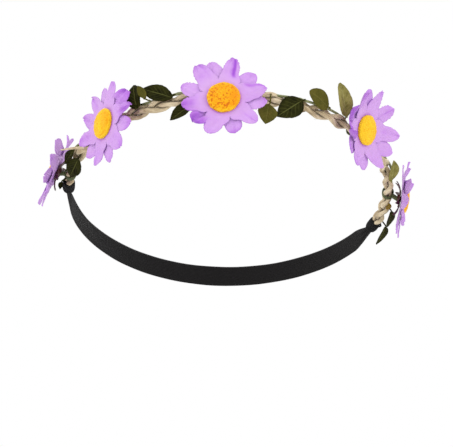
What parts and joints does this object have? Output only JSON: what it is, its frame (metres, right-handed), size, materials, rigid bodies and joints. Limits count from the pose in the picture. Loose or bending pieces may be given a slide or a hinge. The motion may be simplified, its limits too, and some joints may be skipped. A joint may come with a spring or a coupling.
{
  "type": "flower crown",
  "caption": "Hair band of braided natural cord with fabric daisies that nod and turn on short wire stems, cloth leaves along a vine, and a flat black elastic behind the head.",
  "frame": {"origin": "centre of the head opening, in the plane of the braided band", "axes": "+Z out of the top of the crown along the ring's axis, -Y through the front daisy over the forehead, +Y towards the nape, +X towards the wearer's left"},
  "size_m": [0.1806, 0.2078, 0.0439],
  "materials": {
    "cord": "matte twisted paper cord",
    "petal": "matte lilac polyester cloth with a soft sheen",
    "centre": "yellow flocked foam with orange specks",
    "calyx": "dark maroon moulded plastic",
    "stem": "green tape over wire",
    "leaf": "satin dark green leaf cloth with paler veins",
    "vine": "satin olive green",
    "elastic": "matte woven black elastic"
  },
  "bodies": {
    "root": {"braid_strand_1": "cord", "braid_strand_2": "cord", "braid_strand_3": "cord", "binding_left": "elastic", "binding_right": "elastic", "cord_tail": "cord", "elastic_side_left": "elastic", "elastic_side_right": "elastic", "vine_1": "vine", "vine_2": "vine", "vine_3": "vine", "vine_4": "vine", "vine_5": "vine", "leaf_1": "leaf", "leaf_2": "leaf", "leaf_3": "leaf", "leaf_4": "leaf", "leaf_5": "leaf", "leaf_6": "leaf", "leaf_7": "leaf", "leaf_8": "leaf", "leaf_9": "leaf", "leaf_10": "leaf", "leaf_11": "leaf", "leaf_12": "leaf", "leaf_13": "leaf", "leaf_14": "leaf", "leaf_15": "leaf"},
    "elastic_loop": {"elastic_back": "elastic"},
    "stem_1": {"stem_1": "stem", "calyx_1": "calyx"},
    "daisy_1": {"petals_back_1": "petal", "petals_front_1": "petal", "flower_centre_1": "centre"},
    "stem_2": {"stem_2": "stem", "calyx_2": "calyx"},
    "daisy_2": {"petals_back_2": "petal", "petals_front_2": "petal", "flower_centre_2": "centre"},
    "stem_3": {"stem_3": "stem", "calyx_3": "calyx"},
    "daisy_3": {"petals_back_3": "petal", "petals_front_3": "petal", "flower_centre_3": "centre"},
    "stem_4": {"stem_4": "stem", "calyx_4": "calyx"},
    "daisy_4": {"petals_back_4": "petal", "petals_front_4": "petal", "flower_centre_4": "centre"},
    "stem_5": {"stem_5": "stem", "calyx_5": "calyx"},
    "daisy_5": {"petals_back_5": "petal", "petals_front_5": "petal", "flower_centre_5": "centre"}
  },
  "joints": [
    {"name": "elastic_stretch", "type": "slide", "parent": "root", "child": "elastic_loop", "axis": [0, 1, 0], "range_m": [0, 0.025], "stiffness_N_per_m": 60, "deforming": ["elastic_side_left", "elastic_side_right"]},
    {"name": "daisy_nod_1", "type": "hinge", "parent": "root", "child": "stem_1", "pos_m": [-0.076, -0.02204, 0], "axis": [0.1807, -0.9835, 0], "range_deg": [-12, 12]},
    {"name": "daisy_spin_1", "type": "hinge", "parent": "stem_1", "child": "daisy_1", "pos_m": [-0.08289, -0.02331, 0.001], "axis": [-0.9053, -0.1664, 0.3907], "continuous": true},
    {"name": "daisy_nod_2", "type": "hinge", "parent": "root", "child": "stem_2", "pos_m": [-0.05117, -0.07396, 0], "axis": [0.6753, -0.7375, 0], "range_deg": [-12, 12]},
    {"name": "daisy_spin_2", "type": "hinge", "parent": "stem_2", "child": "daisy_2", "pos_m": [-0.05634, -0.07869, -0.0035], "axis": [-0.833, -0.5508, -0.0523], "continuous": true},
    {"name": "daisy_nod_3", "type": "hinge", "parent": "root", "child": "stem_3", "pos_m": [-0.00204, -0.09797, 0], "axis": [0.9995, -0.0329, 0], "range_deg": [-12, 12]},
    {"name": "daisy_spin_3", "type": "hinge", "parent": "stem_3", "child": "daisy_3", "pos_m": [-0.00227, -0.10496, -0.0048], "axis": [-0.0329, -0.9995, 0], "continuous": true},
    {"name": "daisy_nod_4", "type": "hinge", "parent": "root", "child": "stem_4", "pos_m": [0.05705, -0.06684, 0], "axis": [0.596, 0.803, 0], "range_deg": [-12, 12]},
    {"name": "daisy_spin_4", "type": "hinge", "parent": "stem_4", "child": "daisy_4", "pos_m": [0.06267, -0.07101, -0.0025], "axis": [0.8055, -0.4952, -0.3256], "continuous": true},
    {"name": "daisy_nod_5", "type": "hinge", "parent": "root", "child": "stem_5", "pos_m": [0.07799, -0.00171, 0], "axis": [0.0139, 0.9999, 0], "range_deg": [-12, 12]},
    {"name": "daisy_spin_5", "type": "hinge", "parent": "stem_5", "child": "daisy_5", "pos_m": [0.08499, -0.00181, -0.0035], "axis": [0.9925, -0.0138, -0.1219], "continuous": true}
  ]
}
